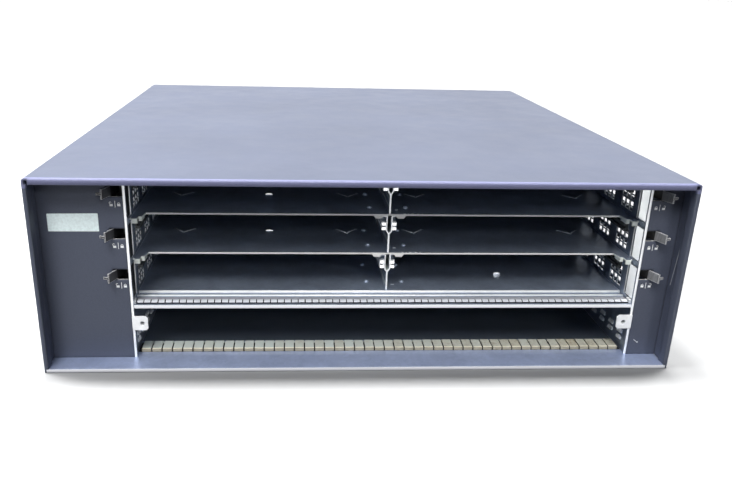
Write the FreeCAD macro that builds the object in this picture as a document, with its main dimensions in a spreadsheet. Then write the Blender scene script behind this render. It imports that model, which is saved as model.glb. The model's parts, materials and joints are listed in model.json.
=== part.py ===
import FreeCAD, Part
import os
import re

import Sketcher
from FreeCAD import Vector

# Empty modular router chassis, three rack units tall, in millimetres.
# X runs to the right seen from the front, Y to the back and Z up.
# The origin is at the middle of the footprint, on the surface it stands on.

SIZES = (
    # Sheet metal
    ("sheet", 1.2, "painted steel of cover, pan and panels"),
    ("cage_sheet", 0.8, "plated steel of the cage walls"),
    ("wall_hem", 1.7, "depth of the doubled front edge of a cage wall"),
    ("shelf_sheet", 1.2, "plated steel of shelves and cross sheets"),
    ("fold", 2.0, "outer radius of a fold in the cover"),
    # Layout from left to right
    ("left_bay", 54.65, "space for the fans, left of the cage"),
    ("cage_width", 348.15, "outer width of the card cage"),
    ("right_bay", 21.5, "space for the air inlet, right of the cage"),
    ("divider_shift", 1.4, "dividers to the right of the middle of the cage"),
    # Layout from front to back
    ("panel_recess", 16.5, "front edge to the front panels"),
    ("card_depth", 204.0, "front panels to the midplane"),
    ("board_thick", 2.4, "midplane board"),
    ("rear_depth", 206.9, "midplane to the outside of the rear panel"),
    ("rear_lip", 2.0, "cover behind the rear panel"),
    # Layout from bottom to top
    ("io_height", 36.6, "clear height of the wide bottom bay"),
    ("row_pitch", 28.5, "spacing of the card rows"),
    ("top_gap", 4.05, "air between cage and cover"),
    # Outer cover
    ("brow", 4.0, "height of the down-turned front edge"),
    ("brow_relief", 2.4, "notch between the brow and a side"),
    ("brow_round", 1.0, "bend radius of its upper edge, in two flats"),
    ("side_hem", 8.0, "depth of the hemmed front edge of a side"),
    ("panel_turn", 8.0, "depth of the turned-back edge of a front panel"),
    ("vent_start", 65.0, "front panels to the first vent slot"),
    ("vent_length", 57.5, "length of a vent slot"),
    ("vent_height", 6.8, "height of a vent slot"),
    ("vent_bottom", 21.0, "lowest edge of the vent slots"),
    ("vent_pitch_long", 67.0, "spacing of the vent slots in a row"),
    ("vent_pitch_high", 8.8, "spacing of the rows of vent slots"),
    ("vent_columns", 2, "vent slots in a row"),
    ("vent_rows", 11, "rows of vent slots"),
    ("rack_hole", 2.1, "radius of a rack bracket hole"),
    ("rack_start", 30.0, "front panels to the rack bracket holes"),
    ("rack_bottom", 28.6, "height of the lower rack bracket hole"),
    ("rack_pitch", 76.2, "spacing of the rack bracket holes"),
    # Base pan
    ("pan_hem", 12.0, "depth of the folded front and rear edges"),
    ("pan_flange", 14.0, "height of the turned-up sides"),
    # Levers, measured from the pivot pin
    ("lever_drop", 7.05, "lever middle below the floor above it"),
    ("lever_height", 6.5, "height of the handle"),
    ("lever_sheet", 1.0, "lever metal"),
    ("lever_lean", 21.0, "degrees a handle leans outward when unlocked"),
    ("lever_turn", 22.0, "degrees a lever turns between unlocked and locked"),
    ("lever_reach", 21.2, "pivot to the tip of the handle"),
    ("lever_lip", 3.2, "length of the turned-out finger hook of the handle"),
    ("lever_hook", 1.6, "height of the finger hook"),
    ("lever_slot", 7.2, "height of the slot in a front panel"),
    ("lever_room", 0.8, "clearance of a lever in its slot and window"),
    ("left_pivot_gap", 3.75, "left cage wall to the pivot"),
    ("right_pivot_gap", 2.8, "right cage wall to the pivot"),
    ("pivot_setback", 12.0, "front panels to the pivot"),
    ("knuckle", 3.8, "width of the block round the pin"),
    ("pin_radius", 1.0, "pivot pin"),
    ("pin_play", 0.05, "radial clearance of a lever on its pin"),
    ("pin_seat", 0.02, "clearance of a pin in the square holes of its brackets"),
    ("latch_reach", 9.5, "pivot to the front of the latch plate"),
    ("latch_rise", 1.8, "latch plate above the floor of its bay"),
    ("latch_inset", 0.2, "latch plate behind the inner face of the wall"),
    # Lever brackets
    ("bracket_sheet", 1.2, "bracket metal"),
    ("bracket_gap", 0.4, "gap above and below a lever"),
    ("bracket_back", 11.0, "pivot to the back of the bracket"),
    ("bracket_ear", 2.8, "pivot to the free edges of a bracket ear"),
    # Perforation of the cage walls
    ("hole_start", 23.8, "front panels to the first hole"),
    ("hole_width", 4.8, "length of a hole"),
    ("hole_height", 6.6, "height of a hole"),
    ("hole_pitch", 6.5, "spacing of the holes in a cluster"),
    ("hole_rise", 3.0, "lowest holes above the floor of the bay"),
    ("hole_tier", 8.35, "upper holes above the lower ones"),
    ("cluster_pitch", 30.2, "spacing of the clusters of holes"),
    ("cluster_count", 3, "clusters of holes along a row"),
    ("slit_start", 8.4, "front panels to the first slit of the bottom bay"),
    ("slit_length", 6.0, "length of a slit"),
    ("slit_height", 2.6, "height of a slit"),
    ("slit_pitch", 15.05, "spacing of the slits"),
    ("slit_rise", 7.3, "lower slits above the floor"),
    ("slit_tier", 5.1, "upper slits above the lower ones"),
    ("slit_count", 6, "slits in a row"),
    # Shelves
    ("shelf_setback", 23.5, "front panels to the front edge of a shelf"),
    ("lower_setback", 22.0, "front panels to the front edge of the lowest shelf"),
    ("shelf_corner", 8.4, "straight front edge stops before the wall"),
    ("ear_width", 5.0, "width of a front ear"),
    ("ear_shoulder", 7.2, "width of an ear behind its neck"),
    ("ear_setback", 11.5, "front panels to the end of an ear"),
    ("ear_neck", 4.0, "straight length of an ear"),
    ("tab_width", 3.8, "width of the turned-down ear tab"),
    ("tab_drop", 3.5, "height of the turned-down ear tab"),
    ("tab_return", 9.0, "length of the turned-down inner edge of an ear"),
    ("tab_clear", 1.2, "ear tab to the cage wall"),
    ("skirt_setback", 6.0, "shelf front edge to the turned-down sides"),
    ("skirt_slant", 4.0, "sloped front end of a turned-down side"),
    ("lip_width", 7.2, "width of a front lip beside the divider"),
    ("lip_drop", 2.0, "height of a front lip"),
    ("lip_slant", 1.5, "sloped ends of a front lip"),
    # Lintel of the bottom bay
    ("lintel_front", 0.5, "front panels to the front edge"),
    ("lintel_depth", 60.0, "front to back"),
    ("lintel_hem", 6.0, "depth of the folded front edge"),
    # Dividers
    ("stem", 1.2, "thickness of the lower part"),
    ("prong", 0.8, "thickness of a fork prong"),
    ("fork_half", 2.1, "middle to the outside of a prong"),
    ("fork_drop", 14.1, "bottom of the fork below the floor above"),
    ("fork_flare", 2.2, "height over which the fork opens"),
    ("fork_foot", 2.0, "width of the flange on a prong"),
    ("divider_setback", 0.5, "shelf front edge to the divider"),
    # Card guides
    ("guide_width", 3.1, "guide, out from what carries it"),
    ("guide_height", 5.7, "height of a guide"),
    ("guide_groove", 1.7, "height of its groove"),
    ("guide_depth", 2.0, "depth of its groove"),
    ("guide_drop", 9.3, "groove below the floor above"),
    ("guide_setback", 2.0, "shelf front edge to the guide"),
    ("guide_length", 150.0, "length of a guide"),
    # Spring finger strips
    ("finger_metal", 0.5, "thickness of a strip"),
    ("finger_pitch", 7.13, "spacing of the fingers of the lower strip"),
    ("finger_slit", 0.6, "gap between the fingers of the lower strip"),
    ("wide_front", 7.0, "front panels to the lower strip"),
    ("wide_length", 14.5, "front to back of the lower strip"),
    ("wide_rail", 2.0, "depth of the flat rail of the lower strip"),
    ("wide_fall", 1.2, "depth of the bend from its fingers down to the rail"),
    ("wide_rise", 3.1, "height of the lower strip"),
    ("wide_lean", 0.4, "fall of its fingers towards the front"),
    ("wide_tip", 0.3, "fingertips above the floor"),
    ("narrow_front", 3.0, "front panels to the upper strip"),
    ("narrow_length", 10.0, "front to back of the upper strip"),
    ("narrow_rail", 3.5, "depth of the flat rail of the upper strip"),
    ("narrow_crest", 2.3, "front of the upper strip to its crest"),
    ("narrow_rise", 1.8, "height of the crest of the upper strip"),
    ("strip_margin", 1.0, "end of a strip to the wall"),
    # Screw tabs of the bottom bay
    ("tab_metal", 1.2, "tab thickness"),
    ("tab_tall", 10.3, "height of a tab"),
    ("tab_below", 5.2, "tab below the lintel"),
    ("left_tab_edge", 0.2, "outer edge of the left tab in from the outside of the wall"),
    ("right_tab_edge", 0.2, "outer edge of the right tab in from the outside of the wall"),
    ("left_tab_in", 10.75, "left tab in from the outside of the wall"),
    ("right_tab_in", 11.1, "right tab in from the outside of the wall"),
    ("left_tab_hole", 6.85, "left screw hole in from the outside of the wall"),
    ("right_tab_hole", 6.2, "right screw hole in from the outside of the wall"),
    ("tab_hole", 1.5, "radius of a screw hole"),
    ("tab_nut", 2.4, "corner radius of the six-sided nut behind the hole"),
    ("tab_nut_long", 2.5, "length of the nut"),
    ("tab_corner", 1.4, "cut corners of a tab"),
    # Midplane and connectors
    ("board_clear", 0.3, "board to the cage walls"),
    ("board_rise", 1.6, "board above the floor"),
    ("plug_length", 96.0, "card connector"),
    ("plug_height", 9.0, "card connector"),
    ("plug_depth", 11.0, "card connector"),
    ("plug_base", 6.0, "depth of the wide part of a connector"),
    ("plug_step", 1.5, "wide part of a connector beyond its tongue"),
    ("plug_rise", 6.0, "card connector above the floor of its bay"),
    ("io_plug_length", 180.0, "connector of the bottom bay"),
    ("supply_plug_length", 60.0, "connector of a power supply"),
    ("supply_plug_height", 14.0, "connector of a power supply"),
    # Fans
    ("fan_size", 80.0, "square fan frame"),
    ("fan_depth", 38.0, "depth of a fan"),
    ("fan_start", 50.0, "front panels to the first fan"),
    ("fan_gap", 2.0, "gap between the fans"),
    ("fan_rise", 26.0, "fans above the floor"),
    ("fan_clear", 3.0, "cage wall to the fans"),
    ("fan_wall", 2.5, "fan frame round the air passage at its thinnest"),
    ("blade_gap", 2.0, "blade ends to the air passage"),
    ("hub_radius", 17.0, "rotor hub"),
    ("hub_depth", 24.0, "rotor hub"),
    ("hub_gap", 1.0, "rotor to the motor plate"),
    ("motor_plate", 3.0, "thickness of the motor plate and its struts"),
    ("strut", 5.0, "width of a strut"),
    ("shaft", 2.0, "radius of the fan shaft"),
    ("blade_count", 7, "blades of a rotor"),
    ("blade_chord", 17.0, "width of a blade round the hub"),
    ("blade_metal", 1.6, "thickness of a blade"),
    ("blade_root", 3.5, "depth of a blade in the hub"),
    ("tray_sheet", 1.2, "fan tray metal"),
    ("tray_margin", 4.0, "fan tray beyond the fans"),
    # Rear
    ("rear_slot", 40.0, "clear height of the processor slot"),
    ("rear_frame", 4.0, "edge of the rear panel round an opening"),
    ("partition", 1.2, "wall between the power supply bays"),
    ("ground_hole", 2.5, "radius of a grounding hole"),
    ("ground_pitch", 16.0, "spacing of the grounding holes"),
    ("ground_rise", 30.0, "lower grounding hole above the floor"),
)

doc = FreeCAD.newDocument("router_chassis")
dims = doc.addObject("Spreadsheet::Sheet", "Dims")
for line, (alias, size, meaning) in enumerate(SIZES, start=1):
    dims.set(f"A{line}", meaning)
    dims.set(f"B{line}", str(size))
    dims.setAlias(f"B{line}", alias)
doc.recompute()
ALIASES = {alias for alias, size, meaning in SIZES}

# Planes of the layout, as formulas of the sheet
COVER_IN = "((left_bay + cage_width + right_bay) / 2)"
COVER_OUT = f"({COVER_IN} + sheet)"
WALL_LEFT = "((left_bay - cage_width - right_bay) / 2)"
WALL_RIGHT = "((left_bay + cage_width - right_bay) / 2)"
CAGE_LEFT = f"({WALL_LEFT} + cage_sheet)"
CAGE_RIGHT = f"({WALL_RIGHT} - cage_sheet)"
HEM_LEFT = f"({CAGE_LEFT} + cage_sheet)"
HEM_RIGHT = f"({CAGE_RIGHT} - cage_sheet)"
MIDDLE = "((left_bay - right_bay) / 2 + divider_shift)"
DEPTH = "(panel_recess + card_depth + board_thick + rear_depth + rear_lip)"
FRONT = f"(-{DEPTH} / 2)"
PANEL = f"({FRONT} + panel_recess)"
BOARD = f"({PANEL} + card_depth)"
BOARD_BACK = f"({BOARD} + board_thick)"
REAR_OUT = f"({BOARD_BACK} + rear_depth)"
REAR_IN = f"({REAR_OUT} - sheet)"
FLOOR = "(2 * sheet)"
LINTEL_LOW = f"({FLOOR} + io_height)"
LINTEL_TOP = f"({LINTEL_LOW} + 2 * shelf_sheet)"
ROW_FLOOR = f"({LINTEL_TOP} + shelf_sheet)"
CAGE_TOP = f"({ROW_FLOOR} + 3 * row_pitch)"
CEILING = f"({CAGE_TOP} - shelf_sheet)"
COVER_TOP_IN = f"({CAGE_TOP} + top_gap)"
COVER_TOP = f"({COVER_TOP_IN} + sheet)"
SHELF_FRONT = f"({PANEL} + shelf_setback)"
REAR_SHELF = f"({FLOOR} + rear_slot)"
NUT_SIDES = 6
ROWS = ("lower", "middle", "upper")
SIDES = ("left", "right")


def formula(text):
    """Points the size names in a formula at the sheet."""
    return re.sub(r"[a-z][a-z_]*", lambda word: word_in_sheet(word.group()), text)


def word_in_sheet(word):
    return f"Dims.{word}" if word in ALIASES else word


def value(text):
    """The number that a formula gives now."""
    return float(dims.evalExpression(formula(text)))


def bind(thing, name, text):
    thing.setExpression(name, formula(text))


def row_floor(row):
    return f"({ROW_FLOOR} + {ROWS.index(row)} * row_pitch)"


def row_above(row):
    return f"({ROW_FLOOR} + {ROWS.index(row) + 1} * row_pitch)"


def outward(side):
    """Sign of the direction from the cage to a side of the chassis."""
    return "-1" if side == "left" else "1"


def wall_face(side):
    return WALL_LEFT if side == "left" else WALL_RIGHT


def cage_face(side):
    return CAGE_LEFT if side == "left" else CAGE_RIGHT


def new_body(label):
    body = doc.addObject("PartDesign::Body", label)
    body.Label = label
    return body


def origin_part(body, role):
    return next(part for part in body.Origin.OriginFeatures if part.Role == role)


def outline(body, plane, loops, level):
    """Sketch of closed loops of straight edges, each corner a pair of formulas."""
    sketch = body.newObject("Sketcher::SketchObject", "Outline")
    sketch.AttachmentSupport = [(origin_part(body, f"{plane}_Plane"), "")]
    sketch.MapMode = "FlatFace"
    # The XZ plane faces the front, so its offset runs against Y
    bind(sketch, "AttachmentOffset.Base.z", f"-({level})" if plane == "XZ" else level)
    for corners in loops:
        first = sketch.GeometryCount
        spots = [Vector(value(across), value(up), 0) for across, up in corners]
        for start, end in zip(spots, spots[1:] + spots[:1]):
            sketch.addGeometry(Part.LineSegment(start, end))
        for step, (across, up) in enumerate(corners):
            edge = first + step
            following = first + (step + 1) % len(corners)
            sketch.addConstraint(Sketcher.Constraint("Coincident", edge, 2, following, 1))
            place_point(sketch, edge, 1, across, up)
    return sketch


def place_point(sketch, geometry, end, across, up):
    for kind, text in (("DistanceX", across), ("DistanceY", up)):
        rule = sketch.addConstraint(Sketcher.Constraint(kind, -1, 1, geometry, end, value(text)))
        bind(sketch, f"Constraints[{rule}]", text)


def rings(body, plane, circles, level):
    """Sketch of circles, each a centre and a radius."""
    sketch = outline(body, plane, (), level)
    for across, up, radius in circles:
        centre = Vector(value(across), value(up), 0)
        circle = sketch.addGeometry(Part.Circle(centre, Vector(0, 0, 1), value(radius)))
        place_point(sketch, circle, 3, across, up)
        rule = sketch.addConstraint(Sketcher.Constraint("Radius", circle, value(radius)))
        bind(sketch, f"Constraints[{rule}]", radius)
    return sketch


def pad(body, plane, sketch, length):
    """Adds metal from the sketch towards +X, +Y or +Z."""
    feature = body.newObject("PartDesign::Pad", "Pad")
    feature.Profile = sketch
    feature.Reversed = plane == "XZ"
    bind(feature, "Length", length)
    return feature


def pocket(body, plane, sketch, length):
    """Cuts metal from the sketch towards +X, +Y or +Z."""
    doc.recompute()
    before = body.Shape.Volume
    feature = body.newObject("PartDesign::Pocket", "Pocket")
    feature.Profile = sketch
    feature.Reversed = plane != "XZ"
    bind(feature, "Length", length)
    doc.recompute()
    if body.Shape.Volume >= before:
        raise RuntimeError(f"{body.Label}: a pocket cuts nothing")
    return feature


def block(body, plane, across, up, level, length):
    """Pad of a rectangle, given as two pairs of formulas."""
    return pad(body, plane, outline(body, plane, [rectangle(across, up)], level), length)


def slot(body, plane, across, up, level, length):
    """Pocket of a rectangle, given as two pairs of formulas."""
    return pocket(body, plane, outline(body, plane, [rectangle(across, up)], level), length)


def rectangle(across, up):
    left, right = across
    low, high = up
    return [(left, low), (right, low), (right, high), (left, high)]


def polygon(across, up, radius, sides):
    """Corners of a regular polygon."""
    turns = [f"{step} * 360 / {sides}" for step in range(sides)]
    return [(f"{across} + {radius} * cos({turn})", f"{up} + {radius} * sin({turn})") for turn in turns]


def row_of(body, role, pitch, count):
    pattern = body.newObject("PartDesign::LinearPattern", "Row")
    pattern.Direction = (origin_part(body, role), [""])
    bind(pattern, "Length", f"({pitch}) * ({count} - 1)")
    bind(pattern, "Occurrences", count)
    return pattern


def repeat(body, feature, role, pitch, count):
    """Repeats a feature along one axis of the body."""
    pattern = row_of(body, role, pitch, count)
    pattern.Originals = [feature]
    body.Tip = pattern
    return pattern


def repeat_grid(body, feature, rows):
    """Repeats a feature along several axes: (role, pitch, count) for each."""
    grid = body.newObject("PartDesign::MultiTransform", "Grid")
    grid.Originals = [feature]
    grid.Transformations = [row_of(body, *row) for row in rows]
    body.Tip = grid
    return grid


def soften(body, feature, chosen, radius):
    """Rounds the edges of a feature whose middle the test chooses."""
    doc.recompute()
    names = []
    for number, edge in enumerate(feature.Shape.Edges, start=1):
        if chosen(edge.CenterOfMass):
            names.append(f"Edge{number}")
    bend = body.newObject("PartDesign::Fillet", "Round")
    bend.Base = (feature, names)
    bind(bend, "Radius", radius)
    return bend


def near(first, second):
    return abs(first - second) < 0.01


def group(label, members):
    """Separate solids that share one node."""
    node = doc.addObject("Part::Compound", label)
    node.Label = label
    node.Links = members
    return node


def box(label, across, along, up):
    """Plain block between pairs of formulas."""
    solid = doc.addObject("Part::Box", label)
    solid.Label = label
    for size, start, (low, high) in zip(("Length", "Width", "Height"), "xyz", (across, along, up)):
        bind(solid, size, f"({high}) - ({low})")
        bind(solid, f"Placement.Base.{start}", low)
    return solid


def outer_cover():
    body = new_body("outer_cover")
    channel = [
        (f"-{COVER_OUT}", "0"), (f"-{COVER_OUT}", COVER_TOP), (COVER_OUT, COVER_TOP), (COVER_OUT, "0"),
        (COVER_IN, "0"), (COVER_IN, COVER_TOP_IN), (f"-{COVER_IN}", COVER_TOP_IN), (f"-{COVER_IN}", "0"),
    ]
    wrap = pad(body, "XZ", outline(body, "XZ", [channel], FRONT), DEPTH)
    top, inside = value(COVER_TOP), value(COVER_IN)
    soften(body, wrap, lambda mid: near(mid.z, top) and abs(mid.x) > inside, "fold")
    brow_end = f"({COVER_IN} - brow_relief)"
    brow_low = f"({COVER_TOP} - brow)"
    block(body, "XZ", (f"-{brow_end}", brow_end), (brow_low, COVER_TOP_IN), FRONT, "sheet")
    bend = "brow_round * (1 - sqrt(0.5))"
    edge = [(FRONT, COVER_TOP), (FRONT, f"{COVER_TOP} - brow_round"),
            (f"{FRONT} + {bend}", f"{COVER_TOP} - {bend}"), (f"{FRONT} + brow_round", COVER_TOP)]
    pocket(body, "YZ", outline(body, "YZ", [edge], f"-{brow_end}"), f"2 * {brow_end}")
    for side in SIDES:
        edges = [f"{outward(side)} * ({COVER_IN} - sheet)", f"{outward(side)} * {COVER_IN}"]
        edges.sort(key=value)
        block(body, "XZ", edges, (FLOOR, brow_low), FRONT, "side_hem")
    through = (f"-{COVER_OUT} - sheet", f"2 * ({COVER_OUT} + sheet)")
    rack_y = f"({PANEL} + rack_start)"
    holes = rings(body, "YZ", [(rack_y, "rack_bottom", "rack_hole")], through[0])
    rack = pocket(body, "YZ", holes, through[1])
    repeat(body, rack, "Z_Axis", "rack_pitch", "2")
    vent_y = f"({PANEL} + vent_start)"
    vent = slot(body, "YZ", (vent_y, f"{vent_y} + vent_length"),
                ("vent_bottom", "vent_bottom + vent_height"), *through)
    repeat_grid(body, vent, (("Y_Axis", "vent_pitch_long", "vent_columns"),
                             ("Z_Axis", "vent_pitch_high", "vent_rows")))
    return body


def base_pan():
    body = new_body("base_pan")
    width = (f"-{COVER_IN}", COVER_IN)
    block(body, "XZ", width, ("sheet", FLOOR), FRONT, DEPTH)
    block(body, "XZ", width, ("0", "sheet"), FRONT, "pan_hem")
    block(body, "XZ", width, ("0", "sheet"), f"-{FRONT} - pan_hem", "pan_hem")
    start = f"({PANEL} + sheet + panel_turn)"
    for sides in ((f"-{COVER_IN}", f"-{COVER_IN} + sheet"), (f"{COVER_IN} - sheet", COVER_IN)):
        block(body, "XZ", sides, (FLOOR, f"{FLOOR} + pan_flange"), start, f"{REAR_IN} - {start}")
    return body


def pivot(side):
    """Where the lever pins of a side stand, as X and Y."""
    return f"({wall_face(side)} + {outward(side)} * {side}_pivot_gap)", f"({PANEL} + pivot_setback)"


def window_heel(side):
    """Pivot to the back of a window, clear of the turned latch plate."""
    return f"(knuckle / 2 + ({side}_pivot_gap + cage_sheet) * sin(lever_turn) + lever_room)"


def lever_middle(row):
    return f"({row_above(row)} - lever_drop)"


def front_panel(side):
    body = new_body(f"front_panel_{side}")
    sign = outward(side)
    edge = f"{sign} * {COVER_IN}"
    width = sorted((wall_face(side), edge), key=value)
    height = (FLOOR, COVER_TOP_IN)
    block(body, "XZ", width, height, PANEL, "sheet")
    reach = f"({side}_pivot_gap + pivot_setback * tan(lever_lean) + lever_sheet + lever_room)"
    notch = sorted((wall_face(side), f"{wall_face(side)} + {sign} * {reach}"), key=value)
    for row in ROWS:
        middle = lever_middle(row)
        tall = (f"{middle} - lever_slot / 2", f"{middle} + lever_slot / 2")
        slot(body, "XZ", notch, tall, PANEL, "2 * sheet")
    # The outer edge is turned back along the side of the cover
    turn = sorted((edge, f"{edge} - {sign} * sheet"), key=value)
    block(body, "XZ", turn, height, f"{PANEL} + sheet", "panel_turn")
    return body


def cage_wall(side):
    body = new_body(f"cage_wall_{side}")
    faces = sorted((wall_face(side), cage_face(side)), key=value)
    start = f"{faces[0]} - sheet"
    through = "cage_sheet + 2 * sheet"
    block(body, "YZ", (PANEL, REAR_IN), (FLOOR, CEILING), faces[0], "cage_sheet")
    hem = CAGE_LEFT if side == "left" else HEM_RIGHT
    block(body, "YZ", (PANEL, f"{PANEL} + wall_hem"), (FLOOR, CEILING), hem, "cage_sheet")
    pivot_y = pivot(side)[1]
    window = (f"{pivot_y} - latch_reach - lever_room", f"{pivot_y} + {window_heel(side)}")
    low = f"({ROW_FLOOR} + latch_rise - lever_room)"
    high = f"({lever_middle('lower')} + lever_height / 2 + lever_room)"
    opening = slot(body, "YZ", window, (low, high), start, through)
    repeat(body, opening, "Z_Axis", "row_pitch", "3")
    cluster = []
    for column in range(3):
        near_edge = f"({PANEL} + hole_start + {column} * hole_pitch)"
        for tier in range(2):
            foot = f"({ROW_FLOOR} + hole_rise + {tier} * hole_tier)"
            across = (near_edge, f"{near_edge} + hole_width")
            cluster.append(rectangle(across, (foot, f"{foot} + hole_height")))
    holes = pocket(body, "YZ", outline(body, "YZ", cluster, start), through)
    repeat_grid(body, holes, (("Y_Axis", "cluster_pitch", "cluster_count"), ("Z_Axis", "row_pitch", "3")))
    slit_y = f"({PANEL} + slit_start)"
    slit_z = f"({FLOOR} + slit_rise)"
    slit = slot(body, "YZ", (slit_y, f"{slit_y} + slit_length"), (slit_z, f"{slit_z} + slit_height"),
                start, through)
    repeat_grid(body, slit, (("Y_Axis", "slit_pitch", "slit_count"), ("Z_Axis", "slit_tier", "2")))
    return body


def cage_top_plate():
    return box("cage_top_plate", (WALL_LEFT, WALL_RIGHT), (PANEL, REAR_IN), (CEILING, CAGE_TOP))


def bay_shelf(row):
    """Shelf over a lower row: ears reach forward along the walls, the sides are turned down."""
    body = new_body(f"shelf_{row}")
    top = row_floor(row)
    left, right = CAGE_LEFT, CAGE_RIGHT
    ear = f"({PANEL} + ear_setback)"
    neck = f"({ear} + ear_neck)"
    plan = [
        (left, BOARD), (left, ear), (f"{left} + ear_width", ear), (f"{left} + ear_width", neck),
        (f"{left} + ear_shoulder", neck), (f"{left} + shelf_corner", SHELF_FRONT),
        (f"{right} - shelf_corner", SHELF_FRONT), (f"{right} - ear_shoulder", neck),
        (f"{right} - ear_width", neck), (f"{right} - ear_width", ear), (right, ear), (right, BOARD),
    ]
    pad(body, "XY", outline(body, "XY", [plan], f"{top} - shelf_sheet"), "shelf_sheet")
    left_tab = (f"{left} + tab_clear", f"{left} + tab_clear + tab_width")
    right_tab = (f"{right} - tab_clear - tab_width", f"{right} - tab_clear")
    drop = (f"{top} - tab_drop", top)
    shoulders = (f"{left} + ear_shoulder - shelf_sheet", f"{right} - ear_shoulder")
    for tab, shoulder in zip((left_tab, right_tab), shoulders):
        block(body, "XZ", tab, drop, f"{ear} - shelf_sheet", "shelf_sheet")
        block(body, "YZ", (neck, f"{neck} + tab_return"), drop, shoulder, "shelf_sheet")
    skirt_front = f"({SHELF_FRONT} + skirt_setback)"
    foot = f"({top} - guide_drop + guide_height / 2)"
    head = f"({top} - shelf_sheet)"
    skirt = [(skirt_front, head), (f"{skirt_front} + skirt_slant", foot), (BOARD, foot), (BOARD, head)]
    for edge in (left, f"{right} - shelf_sheet"):
        pad(body, "YZ", outline(body, "YZ", [skirt], edge), "shelf_sheet")
    lip_near = "fork_half + fork_foot"
    lip_far = f"{lip_near} + lip_width"
    for sign in ("-1", "1"):
        spans = [f"{MIDDLE} + {sign} * ({size})" for size in
                 (lip_near, f"{lip_near} + lip_slant", f"{lip_far} - lip_slant", lip_far)]
        lip = [(spans[0], head), (spans[1], f"{head} - lip_drop"), (spans[2], f"{head} - lip_drop"),
               (spans[3], head)]
        pad(body, "XZ", outline(body, "XZ", [lip], SHELF_FRONT), "shelf_sheet")
    return body


def shelf_lower():
    along = (f"{PANEL} + lower_setback", BOARD)
    return box("shelf_lower", (CAGE_LEFT, CAGE_RIGHT), along, (LINTEL_TOP, ROW_FLOOR))


def io_bay_lintel():
    body = new_body("io_bay_lintel")
    front = f"({PANEL} + lintel_front)"
    back, hem = f"{front} + lintel_depth", f"{front} + lintel_hem"
    fold_z = f"{LINTEL_LOW} + shelf_sheet"
    section = [(front, LINTEL_LOW), (hem, LINTEL_LOW), (hem, fold_z), (back, fold_z), (back, LINTEL_TOP),
               (front, LINTEL_TOP)]
    pad(body, "YZ", outline(body, "YZ", [section], HEM_LEFT), f"{HEM_RIGHT} - {HEM_LEFT}")
    return body


def divider(row):
    """Sheet between two bays: a stem that opens into a fork under the floor above."""
    body = new_body(f"divider_{row}")
    foot = row_floor(row)
    head = f"({row_above(row)} - shelf_sheet)"
    fork = f"({row_above(row)} - fork_drop)"
    half = [
        ("stem / 2", foot), ("stem / 2", f"{fork} - prong"), ("fork_half", f"{fork} + fork_flare - prong"),
        ("fork_half", f"{head} - prong"), ("fork_half + fork_foot", f"{head} - prong"),
        ("fork_half + fork_foot", head), ("fork_half - prong", head),
        ("fork_half - prong", f"{fork} + fork_flare"),
    ]
    right = [(f"{MIDDLE} + ({out})", up) for out, up in half]
    left = [(f"{MIDDLE} - ({out})", up) for out, up in reversed(half)]
    section = right + [(MIDDLE, fork)] + left
    start = f"({SHELF_FRONT} + divider_setback)"
    pad(body, "XZ", outline(body, "XZ", [section], start), f"{BOARD} - {start}")
    return body


def card_guide(label, row, face, sign):
    """Grooved strip that stands out from a face, along +X or -X."""
    body = new_body(label)
    middle = f"({row_above(row)} - guide_drop)"
    bottom = f"{face} + {sign} * (guide_width - guide_depth)"
    edge = f"{face} + {sign} * guide_width"
    low, high = f"{middle} - guide_height / 2", f"{middle} + guide_height / 2"
    groove_low, groove_high = f"{middle} - guide_groove / 2", f"{middle} + guide_groove / 2"
    section = [(face, low), (edge, low), (edge, groove_low), (bottom, groove_low), (bottom, groove_high),
               (edge, groove_high), (edge, high), (face, high)]
    start = f"({SHELF_FRONT} + guide_setback)"
    pad(body, "XZ", outline(body, "XZ", [section], start), "guide_length")
    return body


def card_guides(side):
    inward = "1" if side == "left" else "-1"
    members = [card_guide(f"guide_{side}_{row}", row, cage_face(side), inward) for row in ROWS]
    return group(f"card_guides_{side}", members)


def card_guides_divider():
    members = []
    for row in ROWS:
        for sign in ("-1", "1"):
            face = f"({MIDDLE} + {sign} * fork_half)"
            members.append(card_guide(f"guide_middle_{row}_{len(members)}", row, face, sign))
    return group("card_guides_divider", members)


def gasket_strip_upper():
    """Fine strip on the lintel; its slits are too narrow to matter for its form."""
    body = new_body("gasket_strip_upper")
    front = f"({PANEL} + narrow_front)"
    back = f"({front} + narrow_length)"
    joint = f"({back} - narrow_rail)"
    crest = f"({front} + narrow_crest)"
    metal = f"({LINTEL_TOP} + finger_metal)"
    section = [
        (joint, LINTEL_TOP), (back, LINTEL_TOP), (back, metal), (joint, metal),
        (crest, f"{metal} + narrow_rise"), (front, f"{metal} + finger_metal"), (front, metal),
        (crest, f"{LINTEL_TOP} + narrow_rise"),
    ]
    start = f"({CAGE_LEFT} + strip_margin)"
    pad(body, "YZ", outline(body, "YZ", [section], start), f"{CAGE_RIGHT} - strip_margin - {start}")
    return body


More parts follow.
